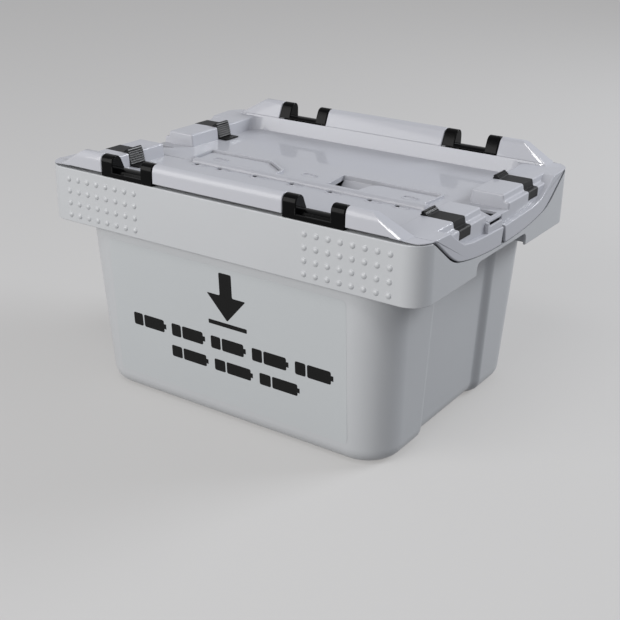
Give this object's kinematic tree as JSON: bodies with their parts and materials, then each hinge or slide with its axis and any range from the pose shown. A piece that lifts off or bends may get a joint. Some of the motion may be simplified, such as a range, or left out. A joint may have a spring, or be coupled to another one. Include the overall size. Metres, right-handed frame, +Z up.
{
  "type": "battery collection box",
  "caption": "Grey plastic battery collection box: tapered tub with a dotted grip collar, end hand grips and a hinged lid in halves that meet along the middle.",
  "frame": {"origin": "centre of the underside, on the face the box stands on", "axes": "+X along the length of the box, +Z up, the front long side faces -Y"},
  "size_m": [0.411, 0.3024, 0.2434],
  "materials": {
    "tub_plastic": "satin light grey",
    "lid_plastic": "glossy light grey with a cool tint",
    "hinge_plastic": "glossy black",
    "strip_rubber": "matt black"
  },
  "bodies": {
    "box": {"tub": "tub_plastic", "hinge_front_left": "hinge_plastic", "hinge_front_right": "hinge_plastic", "hinge_back_left": "hinge_plastic", "hinge_back_right": "hinge_plastic"},
    "front_lid": {"front_flap": "lid_plastic", "strip_front_left": "strip_rubber", "strip_front_right": "strip_rubber"},
    "back_lid": {"back_flap": "lid_plastic", "strip_back_left": "strip_rubber", "strip_back_right": "strip_rubber"}
  },
  "joints": [
    {"name": "front_lid_hinge", "type": "hinge", "parent": "box", "child": "front_lid", "pos_m": [0, -0.1425, 0.2345], "axis": [1, 0, 0], "range_deg": [0, 262]},
    {"name": "back_lid_hinge", "type": "hinge", "parent": "box", "child": "back_lid", "pos_m": [0, 0.1425, 0.2345], "axis": [-1, 0, 0], "range_deg": [0, 262]}
  ]
}
